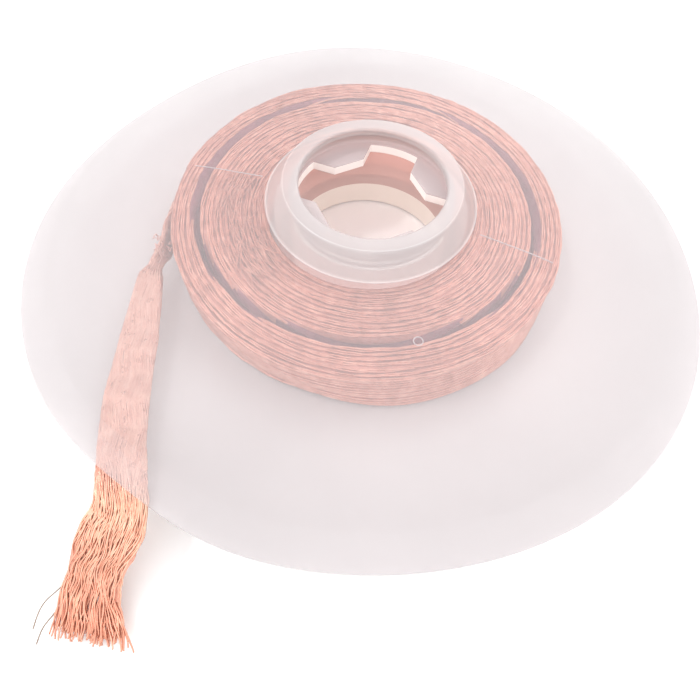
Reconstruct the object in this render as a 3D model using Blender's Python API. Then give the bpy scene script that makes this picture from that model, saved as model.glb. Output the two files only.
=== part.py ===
"""A roll of flat copper desoldering braid on a translucent two-part bobbin.

The bobbin stands on its lower boss with its axis along +Z through the origin. The braid is wound on the
hub between two thin flanges whose rims come together, and its free end passes out between the rims.
All sizes are in metres.
"""
import math

import bmesh
import bpy
from mathutils import Vector

# Driving dimensions of the bobbin
SPOOL_HEIGHT = 0.0090
RIM_RADIUS = 0.0280
RIM_DROOP = 0.00265
FLANGE_THICKNESS = 0.0005
DISH_START_RADIUS = 0.0120
BOSS_HEIGHT = 0.00185
BOSS_BASE_RADIUS = 0.0085
BOSS_TOP_RADIUS = 0.0074
BOSS_EDGE_ROUND = 0.00028
MOUTH_RADIUS = 0.0058
MOUTH_ROUND = 0.0002
MOUTH_LIP_HEIGHT = 0.0005
WELL_RADIUS = 0.0066
WELL_SHOULDER_HEIGHT = 0.0005
BORE_RADIUS = 0.0067
BORE_CHAMFER = 0.00015
HUB_WALL = 0.0013

# Driving dimensions of the web plate and its drive hole
WEB_THICKNESS = 0.00085
HOLE_SQUARE = 0.0086
SLOT_WIDTH = 0.0042
SLOT_REACH = 0.00625
HOLE_TURN = math.radians(29.2)

# Driving dimensions of the braid
BRAID_WIDTH = 0.0035
BRAID_THICKNESS = 0.00035
TURN_PITCH = 0.00038
TURN_COUNT = 20
TURN_WANDER = 0.0001
TURN_WANDER_STEP = 2.3
TURN_VALLEY = 0.00014
SUNK_TURN = 13
SUNK_TURN_DEPTH = 0.0006
LOW_OUTER_TURNS = 2
LOW_OUTER_DEPTH = 0.00022

# Running gap between pieces that touch on the real object
CLEARANCE = 0.0003

# Free end of the braid, from the winding to the frayed tip: x, y, z, width and turn about its own length
# in degrees, where 90 stands the flat braid on its edge
TAIL_ROUTE = [
    (-0.01613, 0.00284, 0.00442, 0.0033, 90.0),
    (-0.01638, 0.00000, 0.00442, 0.0033, 90.0),
    (-0.01645, -0.00300, 0.00440, 0.0033, 85.0),
    (-0.01645, -0.00600, 0.00440, 0.0033, 70.0),
    (-0.01630, -0.00900, 0.00438, 0.0033, 48.0),
    (-0.01600, -0.01250, 0.00436, 0.0034, 26.0),
    (-0.01550, -0.01650, 0.00435, 0.0035, 10.0),
    (-0.01490, -0.02050, 0.00435, 0.0036, 0.0),
    (-0.01430, -0.02400, 0.00435, 0.0038, 0.0),
    (-0.01410, -0.02570, 0.00420, 0.0039, 0.0),
    (-0.01430, -0.02740, 0.00340, 0.0039, 0.0),
    (-0.01460, -0.02900, 0.00225, 0.0040, 0.0),
    (-0.01490, -0.03060, 0.00115, 0.0044, 0.0),
    (-0.01505, -0.03230, 0.00052, 0.0050, 0.0),
]
TAIL_STATIONS_PER_STEP = 3

# Fineness of the round shapes
HALF_SEGMENTS = 64
WINDING_SEGMENTS = 44
FLANGE_STATIONS = 6
ROUND_STEPS = 3
SLOT_END_STEPS = 4
SHARP_ANGLE = math.radians(32)

# Heights and radii that follow from the sizes above
MIDDLE = SPOOL_HEIGHT / 2
UPPER_FACE = SPOOL_HEIGHT - BOSS_HEIGHT
UPPER_INSIDE = UPPER_FACE - FLANGE_THICKNESS
LOWER_FACE = BOSS_HEIGHT
LOWER_INSIDE = LOWER_FACE + FLANGE_THICKNESS
RIM_GAP = BRAID_THICKNESS + 2 * CLEARANCE
HUB_RADIUS = BORE_RADIUS + HUB_WALL
HUB_TOP = UPPER_INSIDE - CLEARANCE
WEB_TOP = UPPER_FACE
WEB_BOTTOM = WEB_TOP - WEB_THICKNESS
WINDING_INNER = HUB_RADIUS + CLEARANCE

PLASTIC_COLOUR = (0.88, 0.84, 0.85, 1.0)
COPPER_COLOUR = (0.86, 0.50, 0.38, 1.0)


def clear_scene():
    """Remove whatever the scene holds."""
    for existing in list(bpy.data.objects):
        bpy.data.objects.remove(existing, do_unlink=True)


def make_material(name, colour, roughness, metallic):
    """A plain surface of one colour."""
    material = bpy.data.materials.new(name)
    material.use_nodes = True
    shader = material.node_tree.nodes["Principled BSDF"]
    shader.inputs["Base Color"].default_value = colour
    shader.inputs["Roughness"].default_value = roughness
    shader.inputs["Metallic"].default_value = metallic
    material.diffuse_color = colour
    return material


def finish_object(name, builder, material, smooth=True):
    """Turn finished mesh data into a named object of the scene."""
    bmesh.ops.recalc_face_normals(builder, faces=builder.faces)
    mesh = bpy.data.meshes.new(name)
    builder.to_mesh(mesh)
    builder.free()
    if smooth:
        mesh.shade_smooth()
        mesh.set_sharp_from_angle(angle=SHARP_ANGLE)
    thing = bpy.data.objects.new(name, mesh)
    bpy.context.scene.collection.objects.link(thing)
    if material is not None:
        mesh.materials.append(material)
    return thing


def turned_solid(name, section_at, segments, material):
    """A ring whose closed section, a list of radius and height, may change with the angle."""
    builder = bmesh.new()
    rings = []
    for step in range(segments):
        angle = math.tau * step / segments
        ring = []
        for radius, height in section_at(angle):
            ring.append(builder.verts.new((radius * math.cos(angle), radius * math.sin(angle), height)))
        rings.append(ring)
    for ring, following in zip(rings, rings[1:] + rings[:1]):
        for index in range(len(ring)):
            after = (index + 1) % len(ring)
            builder.faces.new((ring[index], following[index], following[after], ring[after]))
    return finish_object(name, builder, material)


def arc(centre_radius, centre_height, radius, start, end, steps=ROUND_STEPS):
    """Section points along a rounding, its angles in degrees."""
    points = []
    for step in range(steps + 1):
        angle = math.radians(start + (end - start) * step / steps)
        points.append((centre_radius + radius * math.cos(angle), centre_height + radius * math.sin(angle)))
    return points


def rim_middle(angle):
    """Height midway between the two rims: the soft flanges droop toward the far side, +Y."""
    return MIDDLE - RIM_DROOP * (1 + math.sin(angle)) / 2


def dish_share(radius):
    """How far a flange has bent toward its rim, from 0 near the hub to 1 at the rim."""
    reach = max(0.0, radius - DISH_START_RADIUS) / (RIM_RADIUS - DISH_START_RADIUS)
    return reach * reach


def upper_flange_inside(radius, angle):
    """Height of the upper flange's inner side."""
    rim = rim_middle(angle) + RIM_GAP / 2
    return UPPER_INSIDE + (rim - UPPER_INSIDE) * dish_share(radius)


def lower_flange_inside(radius, angle):
    """Height of the lower flange's inner side."""
    rim = rim_middle(angle) - RIM_GAP / 2
    return LOWER_INSIDE + (rim - LOWER_INSIDE) * dish_share(radius)


def flange_radii():
    """Radii of a flange's section points, from the start of its dish to its rounded rim."""
    end = RIM_RADIUS - FLANGE_THICKNESS / 2
    radii = []
    for step in range(FLANGE_STATIONS + 1):
        radii.append(DISH_START_RADIUS + (end - DISH_START_RADIUS) * step / FLANGE_STATIONS)
    return radii


def rim_nose(inside_height, outside_height):
    """The rounded rim, from its inner side round to its outer side."""
    middle = (inside_height + outside_height) / 2
    half = (outside_height - inside_height) / 2
    end = RIM_RADIUS - FLANGE_THICKNESS / 2
    points = []
    for step in range(1, ROUND_STEPS):
        turn = math.pi * (step / ROUND_STEPS - 0.5)
        points.append((end + FLANGE_THICKNESS / 2 * math.cos(turn), middle + half * math.sin(turn)))
    return points


def boss_side():
    """The boss from its base on the flange up over its outer edge, as radius and height over the flange."""
    corner_radius = BOSS_TOP_RADIUS - BOSS_EDGE_ROUND
    corner_height = BOSS_HEIGHT - BOSS_EDGE_ROUND
    slope = math.degrees(math.atan2(BOSS_BASE_RADIUS - BOSS_TOP_RADIUS, BOSS_HEIGHT))
    return [(BOSS_BASE_RADIUS, 0.0)] + arc(corner_radius, corner_height, BOSS_EDGE_ROUND, slope, 90.0)


def upper_half_section(angle):
    """Section of the upper half: web, flange underside, rim, flange top, boss and its well."""
    outline = [(SLOT_WIDTH / 2, WEB_BOTTOM),
               (BORE_RADIUS - CLEARANCE, WEB_BOTTOM),
               (BORE_RADIUS - CLEARANCE, UPPER_INSIDE)]
    radii = flange_radii()
    for radius in radii:
        outline.append((radius, upper_flange_inside(radius, angle)))
    rim_inside = upper_flange_inside(radii[-1], angle)
    outline += rim_nose(rim_inside, rim_inside + FLANGE_THICKNESS)
    for radius in reversed(radii):
        outline.append((radius, upper_flange_inside(radius, angle) + FLANGE_THICKNESS))
    for radius, height in boss_side():
        outline.append((radius, UPPER_FACE + height))
    outline += arc(MOUTH_RADIUS + MOUTH_ROUND, SPOOL_HEIGHT - MOUTH_ROUND, MOUTH_ROUND, 90.0, 180.0)
    lip_bottom = SPOOL_HEIGHT - MOUTH_LIP_HEIGHT
    outline.append((MOUTH_RADIUS, lip_bottom))
    outline.append((WELL_RADIUS, lip_bottom - WELL_SHOULDER_HEIGHT))
    outline.append((WELL_RADIUS, WEB_TOP))
    outline.append((SLOT_WIDTH / 2, WEB_TOP))
    return outline


def lower_half_section(angle):
    """Section of the lower half: foot ring, flange underside, rim, flange top, hub tube and bore."""
    outline = [(BORE_RADIUS, BORE_CHAMFER), (BORE_RADIUS + BORE_CHAMFER, 0.0)]
    for radius, height in reversed(boss_side()):
        outline.append((radius, LOWER_FACE - height))
    radii = flange_radii()
    for radius in radii:
        outline.append((radius, lower_flange_inside(radius, angle) - FLANGE_THICKNESS))
    rim_inside = lower_flange_inside(radii[-1], angle)
    outline += reversed(rim_nose(rim_inside, rim_inside - FLANGE_THICKNESS))
    for radius in reversed(radii):
        outline.append((radius, lower_flange_inside(radius, angle)))
    outline.append((HUB_RADIUS, LOWER_INSIDE))
    outline.append((HUB_RADIUS, HUB_TOP))
    outline.append((BORE_RADIUS, HUB_TOP))
    return outline


def drive_hole_outline():
    """The hole in the web: a square whose corners open into four parallel-sided slots with round ends."""
    half_slot = SLOT_WIDTH / 2
    tip_distance = HOLE_SQUARE / 2
    tip_half_width = tip_distance - half_slot * math.sqrt(2)
    slot_end_angle = math.asin(half_slot / SLOT_REACH)
    points = []
    for quarter in range(4):
        tooth_angle = HOLE_TURN + quarter * math.pi / 2
        for side in (-tip_half_width, tip_half_width):
            points.append((tip_distance * math.cos(tooth_angle) - side * math.sin(tooth_angle),
                           tip_distance * math.sin(tooth_angle) + side * math.cos(tooth_angle)))
        slot_angle = tooth_angle + math.pi / 4
        for step in range(SLOT_END_STEPS + 1):
            angle = slot_angle + slot_end_angle * (2 * step / SLOT_END_STEPS - 1)
            points.append((SLOT_REACH * math.cos(angle), SLOT_REACH * math.sin(angle)))
    return points


def make_drive_hole_cutter():
    """A prism of the drive hole's outline, only to cut the web."""
    builder = bmesh.new()
    outline = drive_hole_outline()
    bottom = [builder.verts.new((x, y, WEB_BOTTOM - WEB_THICKNESS)) for x, y in outline]
    top = [builder.verts.new((x, y, WEB_TOP + WEB_THICKNESS)) for x, y in outline]
    builder.faces.new(top)
    builder.faces.new(list(reversed(bottom)))
    for index in range(len(outline)):
        after = (index + 1) % len(outline)
        builder.faces.new((bottom[index], bottom[after], top[after], top[index]))
    cutter = finish_object("drive_hole_cutter", builder, None, smooth=False)
    cutter.hide_render = True
    cutter.display_type = 'WIRE'
    return cutter


def make_upper_half(material):
    """The dished flange with its boss, and its web pierced by the drive hole."""
    half = turned_solid("spool_upper_half", upper_half_section, HALF_SEGMENTS, material)
    cut = half.modifiers.new("drive_hole", 'BOOLEAN')
    cut.operation = 'DIFFERENCE'
    cut.solver = 'EXACT'
    cut.object = make_drive_hole_cutter()
    return half


def winding_section(angle):
    """Section of the winding: each turn of braid is a low ridge on both ends of the roll."""
    crests = []
    for turn in range(TURN_COUNT):
        shift = TURN_WANDER * math.sin(TURN_WANDER_STEP * turn)
        top = MIDDLE + BRAID_WIDTH / 2 + shift
        bottom = MIDDLE - BRAID_WIDTH / 2 + shift
        if turn == SUNK_TURN:
            top -= SUNK_TURN_DEPTH
        if turn >= TURN_COUNT - LOW_OUTER_TURNS:
            top -= LOW_OUTER_DEPTH
        crests.append((bottom, top))
    under = [(WINDING_INNER, crests[0][0] + TURN_VALLEY)]
    over = [(WINDING_INNER, crests[0][1] - TURN_VALLEY)]
    for turn, (bottom, top) in enumerate(crests):
        start = WINDING_INNER + turn * TURN_PITCH
        following = crests[min(turn + 1, TURN_COUNT - 1)]
        under.append((start + TURN_PITCH / 2, bottom))
        under.append((start + TURN_PITCH, max(bottom, following[0]) + TURN_VALLEY))
        over.append((start + TURN_PITCH / 2, top))
        over.append((start + TURN_PITCH, min(top, following[1]) - TURN_VALLEY))
    return under + list(reversed(over))


def smooth_value(before, start, end, after, share):
    """Catmull-Rom value between start and end."""
    return 0.5 * (2 * start + (end - before) * share
                  + (2 * before - 5 * start + 4 * end - after) * share ** 2
                  + (3 * start - before - 3 * end + after) * share ** 3)


def tail_stations():
    """Points, widths and turns along one smooth curve through the tail's route."""
    route = [TAIL_ROUTE[0]] + TAIL_ROUTE + [TAIL_ROUTE[-1]]
    stations = []
    for index in range(1, len(route) - 2):
        neighbours = route[index - 1:index + 3]
        for step in range(TAIL_STATIONS_PER_STEP):
            share = step / TAIL_STATIONS_PER_STEP
            stations.append([smooth_value(*values, share) for values in zip(*neighbours)])
    stations.append(list(TAIL_ROUTE[-1]))
    return stations


def make_tail(material):
    """The free end of the braid as one flat ribbon, which turns from its edge onto its flat."""
    builder = bmesh.new()
    stations = tail_stations()
    places = [Vector(station[:3]) for station in stations]
    rings = []
    for index, station in enumerate(stations):
        ahead = places[min(index + 1, len(places) - 1)]
        behind = places[max(index - 1, 0)]
        along = (ahead - behind).normalized()
        side = along.cross(Vector((0, 0, 1))).normalized()
        up = side.cross(along)
        turn = math.radians(station[4])
        across = side * math.cos(turn) + up * math.sin(turn)
        through = along.cross(across)
        half_width = station[3] / 2
        half_thickness = BRAID_THICKNESS / 2
        flat = half_width - half_thickness
        offsets = [(-half_width, 0), (-flat, -half_thickness), (flat, -half_thickness),
                   (half_width, 0), (flat, half_thickness), (-flat, half_thickness)]
        rings.append([builder.verts.new(places[index] + across * a + through * b) for a, b in offsets])
    for ring, following in zip(rings, rings[1:]):
        for index in range(len(ring)):
            after = (index + 1) % len(ring)
            builder.faces.new((ring[index], following[index], following[after], ring[after]))
    builder.faces.new(rings[0])
    builder.faces.new(list(reversed(rings[-1])))
    return finish_object("braid_tail", builder, material)


def main():
    """Build the four pieces in place."""
    clear_scene()
    plastic = make_material("translucent_plastic", PLASTIC_COLOUR, 0.38, 0.0)
    copper = make_material("copper_braid", COPPER_COLOUR, 0.42, 1.0)
    make_upper_half(plastic)
    turned_solid("spool_lower_half", lower_half_section, HALF_SEGMENTS, plastic)
    turned_solid("braid_winding", winding_section, WINDING_SEGMENTS, copper)
    make_tail(copper)


main()
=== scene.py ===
"""Looks of a roll of flat copper desoldering braid on a frosted two-part bobbin.

Lengths are in millimetres here and become metres where a mesh is made. The axis of the bobbin is +Z through
the origin, and the braid's free end leaves toward -Y on the -X side.
"""
import math

import bpy
import numpy as np
from mathutils import Matrix, Vector


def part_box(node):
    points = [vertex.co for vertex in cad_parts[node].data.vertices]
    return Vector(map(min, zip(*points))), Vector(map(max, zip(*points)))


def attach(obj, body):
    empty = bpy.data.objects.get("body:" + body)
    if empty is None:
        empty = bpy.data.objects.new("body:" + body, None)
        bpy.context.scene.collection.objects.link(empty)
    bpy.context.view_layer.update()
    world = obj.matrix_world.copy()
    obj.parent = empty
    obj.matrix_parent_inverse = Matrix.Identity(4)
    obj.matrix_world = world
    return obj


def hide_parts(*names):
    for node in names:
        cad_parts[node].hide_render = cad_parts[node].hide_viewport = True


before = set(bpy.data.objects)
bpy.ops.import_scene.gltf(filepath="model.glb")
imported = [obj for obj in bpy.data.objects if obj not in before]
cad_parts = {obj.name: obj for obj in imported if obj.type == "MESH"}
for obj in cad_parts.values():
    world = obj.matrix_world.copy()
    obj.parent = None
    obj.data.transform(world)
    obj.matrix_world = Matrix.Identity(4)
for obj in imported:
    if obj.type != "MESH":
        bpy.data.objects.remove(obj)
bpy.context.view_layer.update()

MM = 0.001
SEED = 11

# Sizes read from the frame
SPOOL_CORNER = [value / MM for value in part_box("spool_upper_half")[1]]
SPOOL_HEIGHT = SPOOL_CORNER[2]
RIM_RADIUS = SPOOL_CORNER[0]
WINDING_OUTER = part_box("braid_winding")[1][0] / MM

# Section of the bobbin
RIM_DROOP = 2.65
FLANGE_THICKNESS = 0.5
RIM_THICKNESS = 0.24
# The flange's outer band, whose slightly darker, denser plastic is painted shade
RIM_BAND_RADIUS = 26.2
DISH_START_RADIUS = 12.0
BOSS_HEIGHT = 1.85
BOSS_BASE_RADIUS = 8.3
BOSS_TOP_RADIUS = 7.22
BOSS_EDGE_ROUND = 0.28
BOSS_FOOT_ROUND = 0.3
MOUTH_RADIUS = 5.8
MOUTH_ROUND = 0.2
MOUTH_LIP_HEIGHT = 0.5
WELL_RADIUS = 6.6
WELL_SHOULDER_HEIGHT = 0.5
WELL_FOOT_ROUND = 0.2
BORE_RADIUS = 6.7
BORE_CHAMFER = 0.15
HUB_WALL = 1.2
HUB_FOOT_HEIGHT = 2.3
WEB_THICKNESS = 0.85
EDGE_BREAK = 0.07
HOLE_SQUARE = 8.6
SLOT_WIDTH = 4.2
SLOT_REACH = 6.25
HOLE_TURN = math.radians(29.2)
CLEARANCE = 0.3
# The moulded middle sits a little off the axis of the rims, and the shift fades out at a radius
MIDDLE_SHIFT = (0.26, -0.1)
MIDDLE_SHIFT_END = 12.0

# Rims: they touch, but for the place where the braid passes between them
RIM_TOUCH_GAP = 0.06
RIM_TAIL_GAP = 0.95
RIM_TAIL_ANGLE = math.radians(-120.5)
RIM_TAIL_SPREAD = math.radians(12)
# The thin flanges are a little larger than the frame's, and out of round: order, size and direction of
# each wave
RIM_GROWTH = 0.15
RIM_WAVES = [(1, 0.13, math.radians(67)), (2, 0.33, math.radians(171)), (3, 0.41, math.radians(-88)),
             (4, 0.09, math.radians(36)), (5, 0.10, math.radians(153))]
# Both rims are drawn in beside the braid
RIM_DIP = 0.48
RIM_DIP_ANGLE = math.radians(-121)
RIM_DIP_SPREAD = math.radians(12)
# Fine raised moulding lines on the upper flange, and the ring that the mould's gate left
MOULD_LINES = [((-14.53, 2.05), (-8.75, 1.3)), ((8.86, -3.11), (14.28, -5.22))]
MOULD_LINE_RADIUS = 0.045
MOULD_LINE_POINTS = 16
GATE_PLACE = (4.2, -13.1)
GATE_RADIUS = 0.33
GATE_POINTS = 25

MIDDLE = SPOOL_HEIGHT / 2
UPPER_FACE = SPOOL_HEIGHT - BOSS_HEIGHT
UPPER_INSIDE = UPPER_FACE - FLANGE_THICKNESS
LOWER_FACE = BOSS_HEIGHT
LOWER_INSIDE = LOWER_FACE + FLANGE_THICKNESS
HUB_RADIUS = BORE_RADIUS + HUB_WALL
HUB_TOP = UPPER_INSIDE - CLEARANCE
WEB_TOP = UPPER_FACE
WEB_BOTTOM = WEB_TOP - WEB_THICKNESS

# Materials of the bobbin's halves, in the order of their slots
FLANGE, BOSS, WEB, EDGE, RIM_BAND, HUB, HUB_FOOT, EDGE_LIGHT = range(8)
# Places along the boss's section where a painted highlight lines its edges
BOSS_BRIGHT = (1, 9)

# Columns round the bobbin, and rows of a flange and of a rounding
COLUMNS = 288
FLANGE_ROWS = 22
ROUND_ROWS = 5
# Sides of the tubes that stand for fine wires and strands, and of the few that are rounder
FINE_SIDES = 4
ROUND_SIDES = 6

# Winding, and its materials in the order of their slots
# The roll's copper materials are darker copies as painted shade, and the one behind the hub has a painted
# glow
WOUND_SHADED, DEEP_SHADE, BEHIND_HUB_GLOW, GROOVE_SHADE = range(4)
BRAID_WIDTH = 3.5
TURN_COUNT = 20
TURN_PITCH = 0.38
WINDING_INNER = 8.3
SPIRAL_END_ANGLE = math.radians(170)
SPIRAL_STEPS = 400
# The sunk turn's groove, which isn't quite round: order, size and direction of each wave
GROOVE_RADIUS = 13.6
GROOVE_WAVES = [(1, 0.41, math.radians(104)), (2, 0.30, 0.0)]
GROOVE_HALF_WIDTH = 0.30
GROOVE_DEPTH = 1.4
# How far a strand lies below the others before it counts as in the groove, where it takes the groove's
# painted shade
GROOVE_SUNK = 0.45
GROOVE_EDGE = 0.2
# The outer turns are pushed down on the near side only
LOW_OUTER_RADIUS = 15.05
LOW_OUTER_DEPTH = 0.25
LOW_OUTER_ANGLE = math.radians(-85)
LOW_OUTER_SPREAD = math.radians(68)
LOW_OUTER_FADE = (0.12, 0.05)
# Crossing strands of each turn's edge
STRAND_RADIUS = 0.085
STRAND_LAY = 7.0
STRAND_STEP = 0.40
STRAND_SWING = 0.085
STRAND_RISE = 0.045
STRAND_SUNK = 0.1
# Slow wander of all strands, sideways and in height: size, spacing and seed of each part
STRANDS_WANDER = [(0.06, 7.3, 5), (0.03, 2.3, 6)]
STRANDS_LIFT = [(0.05, 6.1, 7), (0.03, 1.9, 8)]
# Loose strands that cross the turns beside the boss
TANGLE_COUNT = 70
TANGLE_ANGLES = (math.radians(163), math.radians(222))
TANGLE_RADII = (8.9, 12.0)
TANGLE_LEAST_RADIUS = 8.6
TANGLE_WIRE_RADII = (0.035, 0.06)
TANGLE_REACH = (0.12, 0.34)
TANGLE_DRIFT = 0.7
TANGLE_RISE = 0.12
TANGLE_POINTS = 12
TANGLE_CLEARANCE = 0.1
# The body under the strands
CORE_COLUMNS = 360
CORE_ROWS = 30
CORE_SIDE_ROWS = 14
CORE_DEPTH = 0.26
CORE_SIDE_DEPTH = 0.2
# Weave of its outer side: slant of the bundles, bundles per length, and their height
SIDE_SLANT = 0.32
SIDE_BUNDLES = 1.2
SIDE_RELIEF = 0.09
# Strands round the outer side
OUTER_STRANDS = 11
OUTER_STRAND_RADIUS = 0.1
OUTER_STRAND_POINTS = 241
# How far the first and the last of them lie in, and the size and spacing of their noise up and outward
OUTER_STRAND_INSET = 0.12
OUTER_STRAND_LIFT = (0.12, 0.33)
OUTER_STRAND_WANDER = (0.02, 0.2)
# The last turns stand out at their lower edge on the near side
BULGE_SIZE = 0.75
BULGE_ANGLE = math.radians(-62)
BULGE_SPREAD = math.radians(33)

# Centreline of the free end, which is the cord, from the winding to the frayed tip
ROUTE_STEPS = 1300
# Steps at the route's end that give its last direction
END_STEPS = 40
TAIL_ROUTE = [
    (-16.13, 2.84, 4.42),
    (-16.38, 0.00, 4.42),
    (-16.45, -3.00, 4.40),
    (-16.45, -6.00, 4.40),
    (-16.30, -9.00, 4.38),
    (-16.00, -12.50, 4.36),
    (-15.50, -16.50, 4.35),
    (-14.90, -20.50, 4.35),
    (-14.30, -24.00, 4.35),
    (-14.10, -25.70, 4.03),
    (-14.30, -27.40, 3.25),
    (-14.60, -29.00, 2.15),
    (-14.90, -30.60, 1.15),
    (-15.05, -32.30, 0.52),
]
# Twist of the woven braid in degrees, by its run from the winding: on its edge at first, and then flat
TWIST_RUNS = [0.0, 7.8, 9.0, 10.4, 13.0, 18.0]
TWIST_TURNS = [90.0, 85.0, 50.0, 22.0, 9.0, 0.0]
# Shape of the woven braid by its run: run, width, shift across, and shift toward the roll
TAIL_SHAPE = [
    (0.0, 2.9, 0.00, 1.00),
    (3.0, 3.0, 0.00, 0.60),
    (6.0, 3.0, 0.00, 0.45),
    (7.8, 2.4, 0.00, 0.45),
    (8.6, 1.4, 0.00, 0.35),
    (9.6, 1.2, 0.00, 0.10),
    (10.4, 2.0, 0.10, 0.00),
    (13.1, 2.5, 0.00, 0.00),
    (16.6, 3.05, 0.00, 0.00),
    (20.6, 3.40, 0.18, 0.00),
    (24.2, 3.45, 0.09, 0.00),
    (25.5, 3.45, -0.09, 0.00),
    (27.7, 3.60, -0.19, 0.00),
    (28.6, 4.00, -0.11, 0.00),
    (29.5, 4.50, 0.02, 0.00),
    (30.9, 4.40, 0.28, 0.00),
    (31.7, 4.10, 0.43, 0.00),
    (32.9, 3.85, 0.53, 0.00),
    (34.2, 4.25, 0.40, 0.00),
    (35.7, 5.00, 0.10, 0.00),
    (37.1, 5.50, -0.10, 0.00),
]
# The longest wires reach a little past the cord's end
TAIL_OVERRUN = 0.4
# Stations along the wires: fewer up to a run, and more from there to the tip
TAIL_FINE_RUN = 25.0
TAIL_STATIONS = (68, 76)
# Where the braid is thin, give or take a spread, and where it starts to come loose and then to fray
THIN_RUN = np.array([8.3, 9.9])
THIN_SPREAD = 0.25
LOOSE_START = 25.0
LOOSE_REACH = 6.0
FRAY_REACH = 4.0
FRAY_SPREAD = 4.5
# How far the frayed wires stray across the braid, and through it
FRAY_ACROSS = 0.16
FRAY_THROUGH = (-0.12, 0.22)
# Slow wander of a bundle and of a wire: size, spacing along it, and share where the braid is still woven
BUNDLE_WANDER = (0.20, 2.6, 0.15)
BUNDLE_LIFT = (0.06, 2.3, 0.4)
WIRE_WANDER = (0.08, 1.2, 0.25)
WIRE_LIFT = (0.05, 1.5, 0.25)
# Ripple of a wire: size where it is woven, what it gains where it is loose, and length
RIPPLE = (0.012, 0.07, 2.6)
# How far the ripples of a bundle's wires are out of step
RIPPLE_SPREAD = 0.7
# How sharply a wire changes from one layer to the other, and how far the lay opens where the braid is loose
LAYER_STEEPNESS = 3.5
LAY_OPENS = 0.7
# Materials of the wires, in the order of their slots, and those that a wire's own is drawn from
WIRE, BETWEEN_SHADE, DARK_WIRE, PALE_WIRE = range(4)
WIRE_TONES = (WIRE, WIRE, DARK_WIRE, PALE_WIRE)
BUNDLES = 8
WIRES_PER_BUNDLE = 10
WIRE_RADIUS = 0.056
WIRE_SPACING = 0.088
LAYER_HEIGHT = 0.14
WEAVE_HEIGHT = 0.03
BRAID_LAY = 32.0
# One wire in so many isn't broken at the neck
WHOLE_WIRES = 4
WIRE_FLOOR_GAP = 0.02
# The flat strip between the two layers of wires
STRIP_SHARE = 0.93
STRIP_HALF = 0.02
STRIP_SHORTER = 2.4
STRIP_LEAST_HEIGHT = 0.1
LOOSE_WIRE_RADIUS = 0.045
# Tangled wires where the free end leaves the roll: their random steps, and the space that they start in
KNOT_WIRES = 16
KNOT_POINTS = 14
KNOT_STEPS = 6
KNOT_STEP = 0.26
KNOT_SPREAD = (0.7, 1.4, 0.9)
KNOT_TIGHTNESS = 0.6
KNOT_LOW = (-16.2, -6.0, 4.6)
KNOT_HIGH = (-15.7, -3.4, 6.0)
# Wires that have left the frayed tip and lie on the floor
STRAY_POINTS = 40
STRAY_ROUTES = [
    [(-16.5, -29.0, 1.9), (-17.5, -29.9, 1.2), (-18.35, -30.6, 0.6), (-18.7, -31.3, 0.3),
     (-18.8, -32.2, 0.12)],
    [(-16.9, -30.4, 1.1), (-17.6, -31.3, 0.6), (-18.15, -32.1, 0.25), (-18.3, -33.0, 0.1)],
]

# Where along Y the wires' colour changes, from painted shade on the part between the flanges to the frayed
# tip
TINT_Y = (-21.0, -31.0)
HIDDEN_PAINTED_SHADE = (0.84, 0.78, 0.84)
TIP_TINT = (0.94, 0.78, 0.75)
# Radii between which the flange's colour darkens toward its rim, as painted shade
RIM_SHADE_RADII = (19.0, 27.0)
WHITE = (1.0, 1.0, 1.0)

# Camera: place, aim and roll, for a square picture
CAMERA_PLACE = (0.0, -31.379, 38.026)
CAMERA_AIM = (-0.43, -12.77, 4.5)
CAMERA_ROLL = math.radians(3.525)
CAMERA_LENS = 26.962
CAMERA_SENSOR = 36.0
LIGHT_AIM = (0.0, -8.0, 3.0)
FLOOR_HALF = 900.0


def make_camera():
    """The camera, looking down on the roll from the front."""
    data = bpy.data.cameras.new("camera")
    data.sensor_width = CAMERA_SENSOR
    data.lens = CAMERA_LENS
    data.clip_start = 0.001
    data.clip_end = 10.0
    camera = bpy.data.objects.new("camera", data)
    bpy.context.scene.collection.objects.link(camera)
    place = Vector(CAMERA_PLACE) * MM
    aim = Vector(CAMERA_AIM) * MM
    turn = (aim - place).to_track_quat('-Z', 'Y').to_matrix() @ Matrix.Rotation(CAMERA_ROLL, 3, 'Z')
    camera.matrix_world = Matrix.Translation(place) @ turn.to_4x4()
    bpy.context.scene.camera = camera


class Builder:
    """Collects points, faces and their materials for one mesh."""

    def __init__(self):
        self.points = []
        self.faces = []
        self.zones = []
        self.count = 0

    def add(self, points, faces, zones=0):
        points = np.asarray(points, dtype=float).reshape(-1, 3)
        faces = np.asarray(faces, dtype=int)
        self.points.append(points)
        self.faces.append(faces + self.count)
        self.zones.append(np.broadcast_to(zones, (len(faces),)).copy())
        self.count += len(points)

    def piece(self, name, materials, smooth_angle=40.0):
        """The finished object, in metres."""
        points = np.concatenate(self.points) * MM
        loops = np.concatenate([block.ravel() for block in self.faces])
        sizes = np.concatenate([np.full(len(block), block.shape[1]) for block in self.faces])
        starts = np.concatenate(([0], np.cumsum(sizes)[:-1]))
        mesh = bpy.data.meshes.new(name)
        mesh.vertices.add(len(points))
        mesh.vertices.foreach_set("co", points.ravel())
        mesh.loops.add(len(loops))
        mesh.loops.foreach_set("vertex_index", loops)
        mesh.polygons.add(len(sizes))
        mesh.polygons.foreach_set("loop_start", starts)
        mesh.polygons.foreach_set("loop_total", sizes)
        mesh.polygons.foreach_set("material_index", np.concatenate(self.zones))
        for material in materials:
            mesh.materials.append(material)
        mesh.update(calc_edges=True)
        mesh.validate()
        mesh.shade_smooth()
        mesh.set_sharp_from_angle(angle=math.radians(smooth_angle))
        thing = bpy.data.objects.new(name, mesh)
        bpy.context.scene.collection.objects.link(thing)
        return thing


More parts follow.
